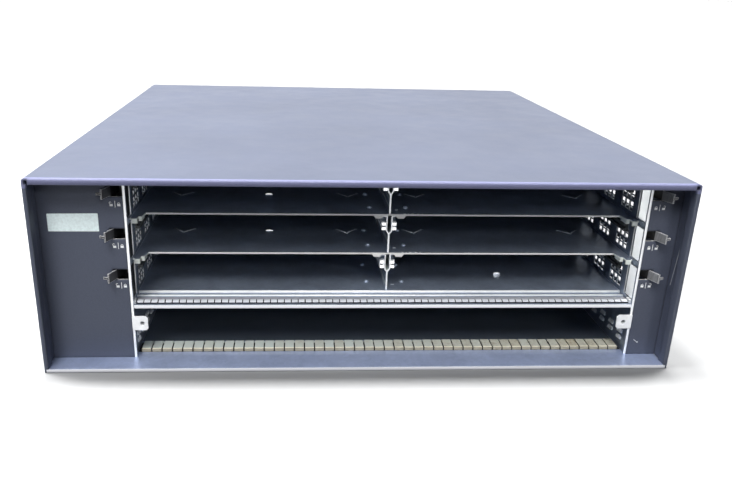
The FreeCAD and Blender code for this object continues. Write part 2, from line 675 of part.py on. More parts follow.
def gasket_strip_lower():
    """Coarse strip on the floor: a rail with separate fingers, bent down at their tips."""
    body = new_body("gasket_strip_lower")
    front = f"({PANEL} + wide_front)"
    back = f"({front} + wide_length)"
    joint = f"({back} - wide_rail)"
    shoulder = f"({joint} - wide_fall)"
    metal = f"({FLOOR} + finger_metal)"
    top = f"({FLOOR} + wide_rise)"
    bend = f"({top} - wide_lean)"
    rail = [(joint, FLOOR), (back, FLOOR), (back, metal), (joint, metal)]
    leaf = [
        (joint, FLOOR), (joint, metal), (shoulder, top), (front, bend), (front, f"{FLOOR} + wide_tip"),
        (f"{front} + finger_metal", f"{bend} - finger_metal"),
        (f"{shoulder} - finger_metal / 2", f"{top} - finger_metal"),
    ]
    count = f"floor(({CAGE_RIGHT} - {CAGE_LEFT} - 2 * strip_margin + finger_slit) / finger_pitch)"
    start = f"(({CAGE_LEFT} + {CAGE_RIGHT} - {count} * finger_pitch + finger_slit) / 2)"
    pad(body, "YZ", outline(body, "YZ", [rail], start), f"{count} * finger_pitch - finger_slit")
    spring = pad(body, "YZ", outline(body, "YZ", [leaf], start), "finger_pitch - finger_slit")
    repeat(body, spring, "X_Axis", "finger_pitch", count)
    return body


def io_screw_tab(side):
    """Tab over the edge of the front panel, with a nut pressed in from behind."""
    body = new_body(f"io_screw_tab_{side}")
    sign = outward(side)
    outer = f"{wall_face(side)} - {sign} * {side}_tab_edge"
    inner = f"{wall_face(side)} - {sign} * {side}_tab_in"
    bevel = f"{inner} + {sign} * tab_corner"
    top = f"({LINTEL_LOW} - tab_below)"
    low = f"({top} - tab_tall)"
    front = f"({PANEL} - tab_metal)"
    plate = [(outer, low), (bevel, low), (inner, f"{low} + tab_corner"), (inner, f"{top} - tab_corner"),
             (bevel, top), (outer, top)]
    pad(body, "XZ", outline(body, "XZ", [plate], front), "tab_metal")
    centre = (f"({wall_face(side)} - {sign} * {side}_tab_hole)", f"({top} - tab_tall / 2)")
    nut = polygon(*centre, "tab_nut", NUT_SIDES)
    pad(body, "XZ", outline(body, "XZ", [nut], PANEL), "tab_nut_long")
    pocket(body, "XZ", rings(body, "XZ", [(*centre, "tab_hole")], front), "tab_metal + tab_nut_long")
    return body


def lever(side, row):
    """Sheet lever: a latch plate in the window of the cage wall and a handle through the panel."""
    body = new_body(f"lever_{side}_{row}")
    sign = outward(side)
    pin_x, pin_y = pivot(side)
    low = f"({row_floor(row)} + latch_rise)"
    high = f"({lever_middle(row)} + lever_height / 2)"

    def plan(out, back):
        return f"{pin_x} + {sign} * ({out})", f"{pin_y} + {back}"

    plate_in = f"(-{side}_pivot_gap - cage_sheet + latch_inset)"
    plate_out = f"({plate_in} + lever_sheet)"
    half = "knuckle / 2"
    latch = [
        plan(half, half), plan(half, f"-({half})"), plan(plate_out, f"-({half})"),
        plan(plate_out, "-latch_reach"), plan(plate_in, "-latch_reach"), plan(plate_in, half),
    ]
    pad(body, "XY", outline(body, "XY", [latch], low), f"{high} - {low}")
    flat = "lever_sheet / 2"

    def leaning(along, off):
        """A point of the handle, along its length and off its middle plane."""
        out = f"({along}) * sin(lever_lean) + ({off}) * cos(lever_lean)"
        return plan(out, f"(-({along}) * cos(lever_lean) + ({off}) * sin(lever_lean))")

    tip = "lever_reach - lever_sheet"
    handle = [leaning(*spot) for spot in rectangle(("0", "lever_reach"), (f"-{flat}", flat))]
    pad(body, "XY", outline(body, "XY", [handle], f"{high} - lever_height"), "lever_height")
    hook = [leaning(*spot) for spot in rectangle((tip, "lever_reach"), (flat, f"{flat} + lever_lip"))]
    hook_low = f"{lever_middle(row)} - lever_hook / 2"
    pad(body, "XY", outline(body, "XY", [hook], hook_low), "lever_hook")
    pocket(body, "XY", rings(body, "XY", [(pin_x, pin_y, "pin_radius + pin_play")], low), f"{high} - {low}")
    return body


def bracket_ends(row):
    """Heights of the outsides of the two bracket ears of a row."""
    low = f"({row_floor(row)} + latch_rise - bracket_gap - bracket_sheet)"
    high = f"({lever_middle(row)} + lever_height / 2 + bracket_gap + bracket_sheet)"
    return low, high


def lever_bracket(side, row):
    body = new_body(f"bracket_{side}_{row}")
    sign = outward(side)
    pin_x, pin_y = pivot(side)
    low, high = bracket_ends(row)
    wall = wall_face(side)
    back = f"{pin_y} + bracket_back"
    web = sorted((wall, f"{wall} + {sign} * bracket_sheet"), key=value)
    block(body, "XY", web, (f"{pin_y} + {window_heel(side)} + lever_room", back), low, f"{high} - {low}")
    ear = sorted((wall, f"{pin_x} + {sign} * bracket_ear"), key=value)
    for level in (low, f"{high} - bracket_sheet"):
        block(body, "XY", ear, (f"{pin_y} - bracket_ear", back), level, "bracket_sheet")
    hole = "(pin_radius + pin_seat)"
    square = (f"{pin_x} - {hole}", f"{pin_x} + {hole}"), (f"{pin_y} - {hole}", f"{pin_y} + {hole}")
    slot(body, "XY", *square, low, f"{high} - {low}")
    return body


def lever_brackets(side):
    return group(f"lever_brackets_{side}", [lever_bracket(side, row) for row in ROWS])


def lever_pins():
    """One long pin on each side, through the levers of all three rows."""
    pins = []
    low, high = bracket_ends("lower")[0], bracket_ends("upper")[1]
    for side in SIDES:
        pin = doc.addObject("Part::Cylinder", f"pin_{side}")
        bind(pin, "Radius", "pin_radius")
        bind(pin, "Height", f"{high} - {low}")
        for axis, place in zip("xyz", (*pivot(side), low)):
            bind(pin, f"Placement.Base.{axis}", place)
        pins.append(pin)
    return group("lever_pins", pins)


def midplane_board():
    return box("midplane_board", (f"{CAGE_LEFT} + board_clear", f"{CAGE_RIGHT} - board_clear"),
               (BOARD, BOARD_BACK), (f"{FLOOR} + board_rise", f"{CEILING} - board_clear"))


def connector(label, centre, low, length, height, faces_front):
    """Connector on the midplane: a wide base on the board and a narrower tongue towards the card."""
    body = new_body(label)
    base = f"({BOARD} - plug_base)" if faces_front else BOARD_BACK
    tongue = f"({BOARD} - plug_depth)" if faces_front else f"({BOARD_BACK} + plug_base)"
    for step, start, depth in (("0", base, "plug_base"), ("plug_step", tongue, "plug_depth - plug_base")):
        half = f"({length} / 2 - {step})"
        tall = (f"{low} + {step}", f"{low} + {height} - {step}")
        block(body, "XZ", (f"{centre} - {half}", f"{centre} + {half}"), tall, start, depth)
    return body


def bay_centre(sign):
    return f"({MIDDLE} + {sign} * (cage_width / 4 - cage_sheet / 2))"


def bay_connectors():
    plugs = []
    for row in ROWS:
        for sign in ("-1", "1"):
            low = f"({row_floor(row)} + plug_rise)"
            plugs.append(connector(f"plug_{row}_{len(plugs)}", bay_centre(sign), low, "plug_length",
                                   "plug_height", True))
    return group("bay_connectors", plugs)


def supply_connectors():
    low = f"({REAR_SHELF} + shelf_sheet + plug_rise)"
    plugs = [connector(f"supply_plug_{name}", bay_centre(sign), low, "supply_plug_length",
                       "supply_plug_height", False) for name, sign in (("left", "-1"), ("right", "1"))]
    return group("supply_connectors", plugs)


FAN_BACK = f"({WALL_LEFT} - fan_clear)"
FAN_FACE = f"({FAN_BACK} - fan_depth)"
FAN_HEIGHT = f"({FLOOR} + fan_rise + fan_size / 2)"
FAN_BORE = "(fan_size / 2 - fan_wall)"
FAN_NAMES = ("front", "rear")
FAN_SIDES = 16
HUB_SIDES = 14


def fan_centre(name):
    return f"({PANEL} + fan_start + fan_size / 2 + {FAN_NAMES.index(name)} * (fan_size + fan_gap))"


def fan_tray():
    """Upright plate on the floor, left of the fans, with a round opening for each."""
    body = new_body("fan_tray")
    margin = "(fan_size / 2 + tray_margin)"
    ends = (f"{fan_centre('front')} - {margin}", f"{fan_centre('rear')} + {margin}")
    plate = f"({FAN_FACE} - tray_sheet)"
    block(body, "YZ", ends, (FLOOR, f"{FAN_HEIGHT} + fan_size / 2"), plate, "tray_sheet")
    block(body, "YZ", ends, (FLOOR, f"{FLOOR} + tray_sheet"), FAN_FACE, f"{FAN_BACK} - {FAN_FACE}")
    openings = [polygon(fan_centre(name), FAN_HEIGHT, FAN_BORE, FAN_SIDES) for name in FAN_NAMES]
    pocket(body, "YZ", outline(body, "YZ", openings, plate), "tray_sheet")
    return body


def fan_frame(name):
    body = new_body(f"fan_frame_{name}")
    along = fan_centre(name)
    half = "fan_size / 2"
    square = (f"{along} - {half}", f"{along} + {half}"), (f"{FAN_HEIGHT} - {half}", f"{FAN_HEIGHT} + {half}")
    block(body, "YZ", *square, FAN_FACE, "fan_depth")
    bore = polygon(along, FAN_HEIGHT, FAN_BORE, FAN_SIDES)
    pocket(body, "YZ", outline(body, "YZ", [bore], FAN_FACE), "fan_depth")
    plate = f"({FAN_BACK} - motor_plate)"
    motor = polygon(along, FAN_HEIGHT, "hub_radius", HUB_SIDES)
    pad(body, "YZ", outline(body, "YZ", [motor], plate), "motor_plate")
    for across, up in (("fan_size - strut", "strut"), ("strut", "fan_size - strut")):
        block(body, "YZ", (f"{along} - ({across}) / 2", f"{along} + ({across}) / 2"),
              (f"{FAN_HEIGHT} - ({up}) / 2", f"{FAN_HEIGHT} + ({up}) / 2"), plate, "motor_plate")
    pad(body, "YZ", rings(body, "YZ", [(along, FAN_HEIGHT, "shaft")], f"{plate} - hub_gap - hub_depth"),
        "hub_gap + hub_depth")
    return body


def fan_rotor(name):
    """Hub with slanted blades, modelled about the X axis and moved to its shaft."""
    body = new_body(f"fan_rotor_{name}")
    hub = polygon("0", "0", "hub_radius", HUB_SIDES)
    pad(body, "YZ", outline(body, "YZ", [hub], "0"), "hub_depth")
    blade = [
        ("blade_metal / 2", "-blade_chord / 2"), ("3 * blade_metal / 2", "-blade_chord / 2"),
        ("hub_depth - blade_metal / 2", "blade_chord / 2"),
        ("hub_depth - 3 * blade_metal / 2", "blade_chord / 2"),
    ]
    root = "(hub_radius - blade_root)"
    vane = pad(body, "XY", outline(body, "XY", [blade], root), f"{FAN_BORE} - blade_gap - {root}")
    spin = body.newObject("PartDesign::PolarPattern", "Blades")
    spin.Originals = [vane]
    spin.Axis = (origin_part(body, "X_Axis"), [""])
    spin.Angle = 360
    bind(spin, "Occurrences", "blade_count")
    body.Tip = spin
    pocket(body, "YZ", rings(body, "YZ", [("0", "0", "shaft + pin_play")], "0"), "hub_depth")
    places = (f"{FAN_BACK} - motor_plate - hub_gap - hub_depth", fan_centre(name), FAN_HEIGHT)
    for axis, place in zip("xyz", places):
        bind(body, f"Placement.Base.{axis}", place)
    return body


def rear_panel():
    body = new_body("rear_panel")
    block(body, "XZ", (f"-{COVER_IN}", COVER_IN), (FLOOR, COVER_TOP_IN), REAR_IN, "sheet")
    left, right = f"({CAGE_LEFT} + rear_frame)", f"({CAGE_RIGHT} - rear_frame)"
    processor = (f"{FLOOR} + rear_frame", f"{REAR_SHELF} - rear_frame / 2")
    slot(body, "XZ", (left, right), processor, REAR_IN, "2 * sheet")
    supply = (f"{REAR_SHELF} + shelf_sheet + rear_frame / 2", f"{CEILING} - rear_frame")
    for edges in ((left, f"{MIDDLE} - rear_frame"), (f"{MIDDLE} + rear_frame", right)):
        slot(body, "XZ", edges, supply, REAR_IN, "2 * sheet")
    lug = f"({WALL_LEFT} - left_bay / 2)"
    lugs = [(lug, f"{FLOOR} + ground_rise + {step} * ground_pitch", "ground_hole") for step in range(2)]
    pocket(body, "XZ", rings(body, "XZ", lugs, REAR_IN), "2 * sheet")
    return body


def rear_shelf():
    tall = (REAR_SHELF, f"{REAR_SHELF} + shelf_sheet")
    return box("rear_shelf", (CAGE_LEFT, CAGE_RIGHT), (BOARD_BACK, REAR_IN), tall)


def supply_partition():
    return box("supply_partition", (f"{MIDDLE} - partition / 2", f"{MIDDLE} + partition / 2"),
               (BOARD_BACK, REAR_IN), (f"{REAR_SHELF} + shelf_sheet", CEILING))


def build():
    parts = [outer_cover(), base_pan()]
    parts += [front_panel(side) for side in SIDES]
    parts += [cage_wall(side) for side in SIDES]
    parts += [cage_top_plate(), bay_shelf("upper"), bay_shelf("middle"), shelf_lower(), io_bay_lintel()]
    parts += [divider(row) for row in ROWS]
    parts += [card_guides(side) for side in SIDES]
    parts += [card_guides_divider()]
    parts += [gasket_strip_lower(), gasket_strip_upper()]
    parts += [io_screw_tab(side) for side in SIDES]
    parts += [lever(side, row) for side in SIDES for row in ROWS]
    parts += [lever_brackets(side) for side in SIDES]
    parts += [lever_pins(), midplane_board(), bay_connectors()]
    io_low = f"({FLOOR} + io_height / 2 - plug_height / 2)"
    slot_low = f"({FLOOR} + rear_slot / 2 - plug_height / 2)"
    parts += [connector("io_connector", MIDDLE, io_low, "io_plug_length", "plug_height", True),
              connector("processor_connector", MIDDLE, slot_low, "io_plug_length", "plug_height", False),
              supply_connectors(), fan_tray()]
    parts += [fan_frame(name) for name in FAN_NAMES]
    parts += [fan_rotor(name) for name in FAN_NAMES]
    parts += [rear_panel(), rear_shelf(), supply_partition()]
    return parts


def check(parts):
    for thing in doc.Objects:
        if "Invalid" in thing.State or "Error" in thing.State:
            raise RuntimeError(f"{thing.Label}: {thing.State}")
    for part in parts:
        if part.Shape.isNull() or not part.Shape.isValid() or not part.Shape.Solids:
            raise RuntimeError(f"{part.Label} has no valid solid")


PARTS = build()
doc.recompute()
check(PARTS)
os.makedirs("parts", exist_ok=True)
for part in PARTS:
    part.Shape.exportStep(f"parts/{part.Label}.step")
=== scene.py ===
import json
import math
import random

import bmesh
import bpy
from mathutils import Matrix, Vector


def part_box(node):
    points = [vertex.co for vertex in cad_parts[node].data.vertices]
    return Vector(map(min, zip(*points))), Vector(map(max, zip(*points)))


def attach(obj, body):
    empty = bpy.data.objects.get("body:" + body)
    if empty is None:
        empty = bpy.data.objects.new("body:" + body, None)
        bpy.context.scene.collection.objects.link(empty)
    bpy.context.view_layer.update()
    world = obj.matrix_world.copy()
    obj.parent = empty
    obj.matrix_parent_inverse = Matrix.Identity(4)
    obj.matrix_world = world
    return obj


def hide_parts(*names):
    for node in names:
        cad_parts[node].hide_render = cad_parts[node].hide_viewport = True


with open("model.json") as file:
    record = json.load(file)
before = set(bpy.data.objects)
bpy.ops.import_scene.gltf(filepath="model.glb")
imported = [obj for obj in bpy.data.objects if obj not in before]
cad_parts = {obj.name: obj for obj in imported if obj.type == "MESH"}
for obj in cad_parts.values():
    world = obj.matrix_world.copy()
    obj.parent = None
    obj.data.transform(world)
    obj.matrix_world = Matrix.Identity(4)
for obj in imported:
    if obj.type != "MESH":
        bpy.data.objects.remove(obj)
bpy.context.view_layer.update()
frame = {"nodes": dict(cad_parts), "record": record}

# Looks of an empty modular router chassis. Lengths are in millimetres until a mesh is made.
MM = 0.001
NODES = frame["nodes"]
SCENE = bpy.context.scene
CHANCE = random.Random(41)

PANEL = -199.4  # front face of the recessed panels, in Y
COVER_IN = 212.15  # inner face of the cover's right side, in X
BROW_FRONT, BROW_FOOT = -213.6, 127.0  # the turned-down brow lies in front of and above these, in Y and Z
REAR = 213.9  # outer face of the rear panel, in Y
MIDDLE = 17.975  # middle plane of the dividers, in X
ROW_FLOORS = (42.6, 71.1, 99.6)  # shelf tops, in Z
GUIDE_FRONT = -173.9  # front end of the card guides, in Y
HOLES_FROM, CLUSTER_STEP, HOLE_STEP = -175.6, 30.2, 6.5  # tall holes of the cage walls, in Y
LOWER_PITCH, UPPER_PITCH = 7.13, 4.75  # fingers of the two spring strips, in X
SLITS_FROM, SLIT_STEP = -190.9, 15.05  # slits beside the bottom bay, in Y
LATCH_PLATES = (180.0, 191.2)  # the right levers' bright inner plates, in X
RIB_STEP, RIB_RISE = 0.0016, 0.0012  # saw-tooth relief of those plates, in metres


# Camera, fitted to the corners of the object in the photograph

PHOTO = (732, 500)
FOCAL_PIXELS = 716.694
IMAGE_CENTRE = (338.859, 241.320)
CAMERA_AT = (-48.731, -646.222, 247.441)
YAW, PITCH, ROLL = 0.0674, 0.34221, 0.0266


def add_camera():
    data = bpy.data.cameras.new("camera")
    data.sensor_width = 36.0
    data.lens = FOCAL_PIXELS / PHOTO[0] * data.sensor_width
    data.shift_x = (PHOTO[0] / 2 - IMAGE_CENTRE[0]) / PHOTO[0]
    data.shift_y = (IMAGE_CENTRE[1] - PHOTO[1] / 2) / PHOTO[0]
    data.clip_start = 0.01
    ahead = Vector((math.sin(YAW) * math.cos(PITCH), math.cos(YAW) * math.cos(PITCH), -math.sin(PITCH)))
    level = Vector((math.cos(YAW), -math.sin(YAW), 0.0))
    above = level.cross(ahead)
    right = level * math.cos(ROLL) + above * math.sin(ROLL)
    up = above * math.cos(ROLL) - level * math.sin(ROLL)
    turn = Matrix((right, up, -ahead)).transposed().to_4x4()
    camera = bpy.data.objects.new("camera", data)
    camera.matrix_world = Matrix.Translation(Vector(CAMERA_AT) * MM) @ turn
    SCENE.collection.objects.link(camera)
    SCENE.camera = camera


# Materials

class Surface:
    """A procedural material. Textures are laid out in the part's own frame, in metres."""

    def __init__(self, name):
        self.material = bpy.data.materials.new(name)
        self.material.use_nodes = True
        self.tree = self.material.node_tree
        self.shader = self.tree.nodes["Principled BSDF"]
        self.place = self.node("ShaderNodeTexCoord").outputs["Object"]

    def node(self, kind, **settings):
        made = self.tree.nodes.new(kind)
        for key, value in settings.items():
            setattr(made, key, value)
        return made

    def set(self, socket, value):
        """Gives a socket a link or a plain value."""
        if isinstance(value, bpy.types.NodeSocket):
            self.tree.links.new(value, socket)
        else:
            socket.default_value = value

    def stretched(self, factors):
        node = self.node("ShaderNodeMapping")
        self.set(node.inputs["Vector"], self.place)
        node.inputs["Scale"].default_value = factors
        return node.outputs["Vector"]

    def noise(self, scale, detail=2.0, stretch=None, distortion=0.0):
        node = self.node("ShaderNodeTexNoise")
        self.set(node.inputs["Vector"], self.stretched(stretch) if stretch else self.place)
        node.inputs["Scale"].default_value = scale
        node.inputs["Detail"].default_value = detail
        node.inputs["Distortion"].default_value = distortion
        return node.outputs["Fac"]

    def cells(self, scale):
        node = self.node("ShaderNodeTexVoronoi")
        self.set(node.inputs["Vector"], self.place)
        node.inputs["Scale"].default_value = scale
        return node.outputs["Color"]

    def ramp(self, factor, *stops):
        node = self.node("ShaderNodeValToRGB")
        self.set(node.inputs["Fac"], factor)
        band = node.color_ramp
        while len(band.elements) < len(stops):
            band.elements.new(0.5)
        for element, (position, colour) in zip(band.elements, stops):
            element.position = position
            tone = (colour,) * 3 if isinstance(colour, (int, float)) else colour
            element.color = (*tone, 1.0)
        return node.outputs["Color"]

    def mix(self, factor, first, second, blend="MIX"):
        node = self.node("ShaderNodeMix", data_type="RGBA", blend_type=blend)
        sockets = [s for s in node.inputs if s.enabled]
        for socket, value in zip(sockets, (factor, first, second)):
            self.set(socket, (*value, 1.0) if isinstance(value, tuple) else value)
        return next(s for s in node.outputs if s.enabled)

    def math(self, operation, first, second=0.0, clamp=False):
        node = self.node("ShaderNodeMath", operation=operation, use_clamp=clamp)
        self.set(node.inputs[0], first)
        self.set(node.inputs[1], second)
        return node.outputs[0]

    def axis(self, name):
        node = self.node("ShaderNodeSeparateXYZ")
        self.set(node.inputs[0], self.place)
        return node.outputs[name]

    def rounded(self, radius):
        node = self.node("ShaderNodeBevel", samples=4)
        node.inputs["Radius"].default_value = radius
        return node.outputs["Normal"]

    def edges(self, radius):
        """One along an edge, zero on a flat face."""
        dot = self.node("ShaderNodeVectorMath", operation="DOT_PRODUCT")
        self.set(dot.inputs[0], self.rounded(radius))
        self.set(dot.inputs[1], self.node("ShaderNodeNewGeometry").outputs["True Normal"])
        return self.ramp(dot.outputs["Value"], (0.80, 1.0), (0.985, 0.0))

    def between(self, name, low, high):
        """One where a coordinate lies between two places in millimetres."""
        place = self.axis(name)
        above = self.math("GREATER_THAN", place, low * MM)
        return self.math("MULTIPLY", above, self.math("LESS_THAN", place, high * MM))

    def facing(self, axis, above):
        """One where the true face normal points along an axis by more than a limit."""
        node = self.node("ShaderNodeSeparateXYZ")
        self.set(node.inputs[0], self.node("ShaderNodeNewGeometry").outputs["True Normal"])
        return self.math("GREATER_THAN", node.outputs[axis], above)

    def bump(self, height, distance, strength=1.0, normal=None):
        node = self.node("ShaderNodeBump")
        self.set(node.inputs["Height"], height)
        node.inputs["Distance"].default_value = distance
        node.inputs["Strength"].default_value = strength
        if normal is not None:
            self.set(node.inputs["Normal"], normal)
        return node.outputs["Normal"]

    def finish(self, **sockets):
        for key, value in sockets.items():
            name = key.replace("_", " ").title().replace("Ior", "IOR")
            self.set(self.shader.inputs[name], (*value, 1.0) if isinstance(value, tuple) else value)
        return self.material


def shade(colour, factor):
    return tuple(min(1.0, c * factor) for c in colour)


def paint(name, colour, worn, round_edge=0.002, bare=None, brow=None):
    """Powder coat: fine orange peel, faint clouds, wear along the edges.

    bare is the tone of upward faces such as slot edges: uncoated steel, given only where the faces look up, so partly
    a painted highlight. brow is the lighter tone of the cover's turned-down front edge, a painted highlight where
    that rounded edge catches the light from above.
    """
    s = Surface(name)
    clouds = s.ramp(s.noise(9.0, 4.0), (0.3, shade(colour, 0.93)), (0.7, shade(colour, 1.06)))
    # Painted highlight: the cover's turned-down front edge is lighter, as where the light from above falls on it.
    if brow:
        front = s.math("LESS_THAN", s.axis("Y"), BROW_FRONT * MM)
        high = s.math("GREATER_THAN", s.axis("Z"), BROW_FOOT * MM)
        clouds = s.mix(s.math("MULTIPLY", front, high), clouds, brow)
    grain = s.ramp(s.noise(2600.0, 2.0), (0.25, 0.86), (0.75, 1.12))
    tone = s.mix(1.0, clouds, grain, "MULTIPLY")
    wear = s.math("MULTIPLY", s.edges(0.0007), s.ramp(s.noise(160.0, 4.0), (0.38, 0.15), (0.66, 0.7)))
    tone = s.mix(wear, tone, worn)
    # Painted highlight: faces that look up, such as the lower edges of the lever slots, take a light uncoated tone.
    if bare:
        tone = s.mix(s.facing("Z", 0.8), tone, bare)
    peel = s.bump(s.noise(1500.0, 2.0), 0.00005, 0.5, s.rounded(round_edge))
    rough = s.ramp(s.noise(40.0, 3.0), (0.3, 0.40), (0.7, 0.50))
    return s.finish(base_color=tone, roughness=rough, specular_ior_level=0.28, normal=peel)


def plated(name, light, dark, rough=(0.3, 0.46), streak=(12.0, 500.0, 500.0), edge=0.0005, metallic=0.7,
           edge_and_highlight_tone=(0.90, 0.92, 0.93), cut_metal=0.0, front=False, drawn=None, dim=None, pale=None, shadow=None):
    """Zinc or nickel on steel: mottled, finely brushed, smudged by handling, bright along the edges, which are
    sheared steel lightened as a painted highlight.

    front also gives faces that look to the front the bright edge tone, a painted highlight where the front light
    falls.
    drawn is a tone for streaks. dim is a Y limit and the tone deeper than it, a painted shade deep in the bays.
    pale is a Y limit and the tone of upright faces before it, a painted highlight on faces lit from the front.
    shadow is a span in Y where upward faces are dark.
    """
    s = Surface(name)
    mottle = s.ramp(s.noise(55.0, 5.0, distortion=0.6), (0.32, dark), (0.68, light))
    spangle = s.ramp(s.cells(420.0), (0.0, 0.92), (1.0, 1.04))
    tone = s.mix(1.0, mottle, spangle, "MULTIPLY")
    lines = s.noise(3.0, 3.0, stretch=streak)
    if drawn:
        tone = s.mix(s.ramp(lines, (0.50, 0.0), (0.62, 1.0)), tone, drawn)
    # Painted highlight: the edges take a bright tone, the sheared steel lightened.
    edge_and_highlight = s.edges(edge)
    # Painted highlight: faces that look to the front take the same bright tone.
    if front:
        edge_and_highlight = s.math("MAXIMUM", edge_and_highlight, s.math("SUBTRACT", 1.0, s.facing("Y", -0.8)))
    # Painted shade: deeper than the Y limit, the tone is dark.
    if dim:
        limit, colour = dim
        tone = s.mix(s.math("GREATER_THAN", s.axis("Y"), limit * MM), tone, colour)
    # Painted highlight: upright faces in front of the Y limit take a light tone.
    if pale:
        limit, colour = pale
        upright = s.math("SUBTRACT", 1.0, s.facing("Z", 0.5))
        near = s.math("MULTIPLY", s.math("LESS_THAN", s.axis("Y"), limit * MM), upright)
        tone = s.mix(near, s.mix(edge_and_highlight, tone, edge_and_highlight_tone), colour)
        edge_and_highlight = s.math("MAXIMUM", edge_and_highlight, near)
    else:
        tone = s.mix(edge_and_highlight, tone, edge_and_highlight_tone)
    if shadow:
        under = s.math("MULTIPLY", s.between("Y", *shadow), s.facing("Z", 0.5))
        tone = s.mix(under, tone, (0.01, 0.01, 0.011))
    smudge = s.noise(22.0, 4.0, distortion=1.2)
    gloss = s.ramp(s.math("ADD", s.math("MULTIPLY", smudge, 0.75), s.math("MULTIPLY", lines, 0.25)),
                   (0.34, rough[0]), (0.66, rough[1]))
    relief = s.bump(lines, 0.00002, 0.25, s.rounded(edge))
    metal = s.ramp(edge_and_highlight, (0.0, metallic), (1.0, cut_metal))
    shine = s.ramp(edge_and_highlight, (0.0, 0.5), (1.0, 0.12))
    return s.finish(base_color=tone, metallic=metal, roughness=gloss, specular_ior_level=shine, normal=relief)


def lever_finish(name):
    """Matte grey levers with bright right latch plates. The left ones are painted darker and the parts at the back of
    the panel nearly black, both painted shade; the near-white edges are a painted highlight.
    """
    s = Surface(name)
    grain = s.ramp(s.noise(900.0, 3.0, stretch=(1.0, 1.0, 0.25)),
                   (0.3, (0.17, 0.172, 0.178)), (0.7, (0.27, 0.273, 0.28)))
    # Painted shade: levers on the left, whose faces turn away from the light, are darker.
    left = s.math("LESS_THAN", s.axis("X"), 0.0)
    tone = s.mix(s.math("MULTIPLY", left, 0.78), grain, (0.03, 0.03, 0.036))
    # Painted highlight: the edges are near white.
    tone = s.mix(s.edges(0.0008), tone, (0.93, 0.93, 0.94))
    # Painted shade: the parts at the back of the panel, seen through the slots, are nearly black.
    shade_behind_panel = s.math("GREATER_THAN", s.axis("Y"), (PANEL + 0.9) * MM)
    tone = s.mix(shade_behind_panel, tone, (0.012, 0.012, 0.013))
    inside = s.between("X", *LATCH_PLATES)
    bright = s.ramp(s.noise(60.0, 4.0), (0.3, (0.92, 0.95, 0.93)), (0.7, (0.97, 0.98, 0.97)))
    tone = s.mix(inside, tone, bright)
    gloss = s.ramp(s.noise(220.0, 3.0), (0.3, 0.32), (0.7, 0.48))
    ribs = s.math("MULTIPLY", s.math("FRACT", s.math("DIVIDE", s.axis("Y"), RIB_STEP)), inside)
    relief = s.bump(ribs, RIB_RISE, 1.0, s.rounded(0.0003))
    relief = s.bump(s.noise(1400.0, 2.0), 0.00003, 0.4, relief)
    return s.finish(base_color=tone, metallic=inside, roughness=gloss, specular_ior_level=0.3, normal=relief)


def moulded(name, colour, rough=0.5, grain=1800.0):
    """Moulded plastic with a fine spark-eroded grain and a little dust."""
    s = Surface(name)
    tone = s.ramp(s.noise(70.0, 4.0), (0.3, shade(colour, 0.88)), (0.7, shade(colour, 1.1)))
    relief = s.bump(s.noise(grain, 2.0), 0.00004, 0.4, s.rounded(0.0003))
    gloss = s.ramp(s.noise(130.0, 3.0), (0.3, rough - 0.07), (0.7, rough + 0.08))
    return s.finish(base_color=tone, roughness=gloss, normal=relief)


def spring_metal(name, pitch, start, bend, near, far, crease_highlight, drop, stain):
    """Spring strip: every finger has its own tone, going from near at the left to far at the right.

    bend holds the Y limits before which the tone is that of the bent nose, a painted highlight along the bend, and
    then of the drop.
    """
    s = Surface(name)
    across = s.axis("X")
    number = s.math("FLOOR", s.math("DIVIDE", s.math("SUBTRACT", across, start * MM), pitch * MM))
    own = s.node("ShaderNodeTexWhiteNoise", noise_dimensions="1D")
    s.set(own.inputs["W"], number)
    along = s.math("ADD", s.math("MULTIPLY", across, 2.6), 0.22)
    drift = s.math("ADD", along, s.math("MULTIPLY", s.math("SUBTRACT", own.outputs["Value"], 0.5), 0.4), True)
    tone = s.mix(drift, near, far)
    spots = s.ramp(s.noise(420.0, 5.0, distortion=0.8), (0.50, 0.0), (0.72, 0.85))
    tone = s.mix(s.math("MULTIPLY", spots, drift), tone, stain)
    # Painted highlight: the fingers' bent nose takes a bright tone.
    tone = s.mix(s.math("LESS_THAN", s.axis("Y"), bend[0] * MM), tone, crease_highlight)
    tone = s.mix(s.math("LESS_THAN", s.axis("Y"), bend[1] * MM), tone, drop)
    gloss = s.ramp(s.noise(300.0, 3.0), (0.3, 0.34), (0.7, 0.5))
    relief = s.bump(s.noise(900.0, 2.0), 0.00002, 0.3, s.rounded(0.00015))
    return s.finish(base_color=tone, metallic=0.3, roughness=gloss, normal=relief)


def circuit_board(name):
    """Dark green solder mask over a faint copper pattern."""
    s = Surface(name)
    tracks = s.node("ShaderNodeTexBrick", offset=0.5)
    s.set(tracks.inputs["Vector"], s.stretched((260.0, 1.0, 260.0)))
    tracks.inputs["Scale"].default_value = 1.0
    tracks.inputs["Mortar Size"].default_value = 0.06
    tone = s.mix(tracks.outputs["Fac"], (0.006, 0.014, 0.010), (0.010, 0.024, 0.016))
    cloud = s.ramp(s.noise(35.0, 3.0), (0.3, 0.8), (0.7, 1.15))
    relief = s.bump(tracks.outputs["Fac"], 0.00004, 0.5)
    return s.finish(base_color=s.mix(1.0, tone, cloud, "MULTIPLY"), roughness=0.42, normal=relief)


def printed(name, colour):
    """Screen-printed ink, slightly thin in places."""
    s = Surface(name)
    tone = s.ramp(s.noise(700.0, 3.0), (0.3, shade(colour, 0.86)), (0.65, colour))
    relief = s.bump(s.noise(2200.0, 2.0), 0.00002, 0.4)
    return s.finish(base_color=tone, roughness=0.6, normal=relief)


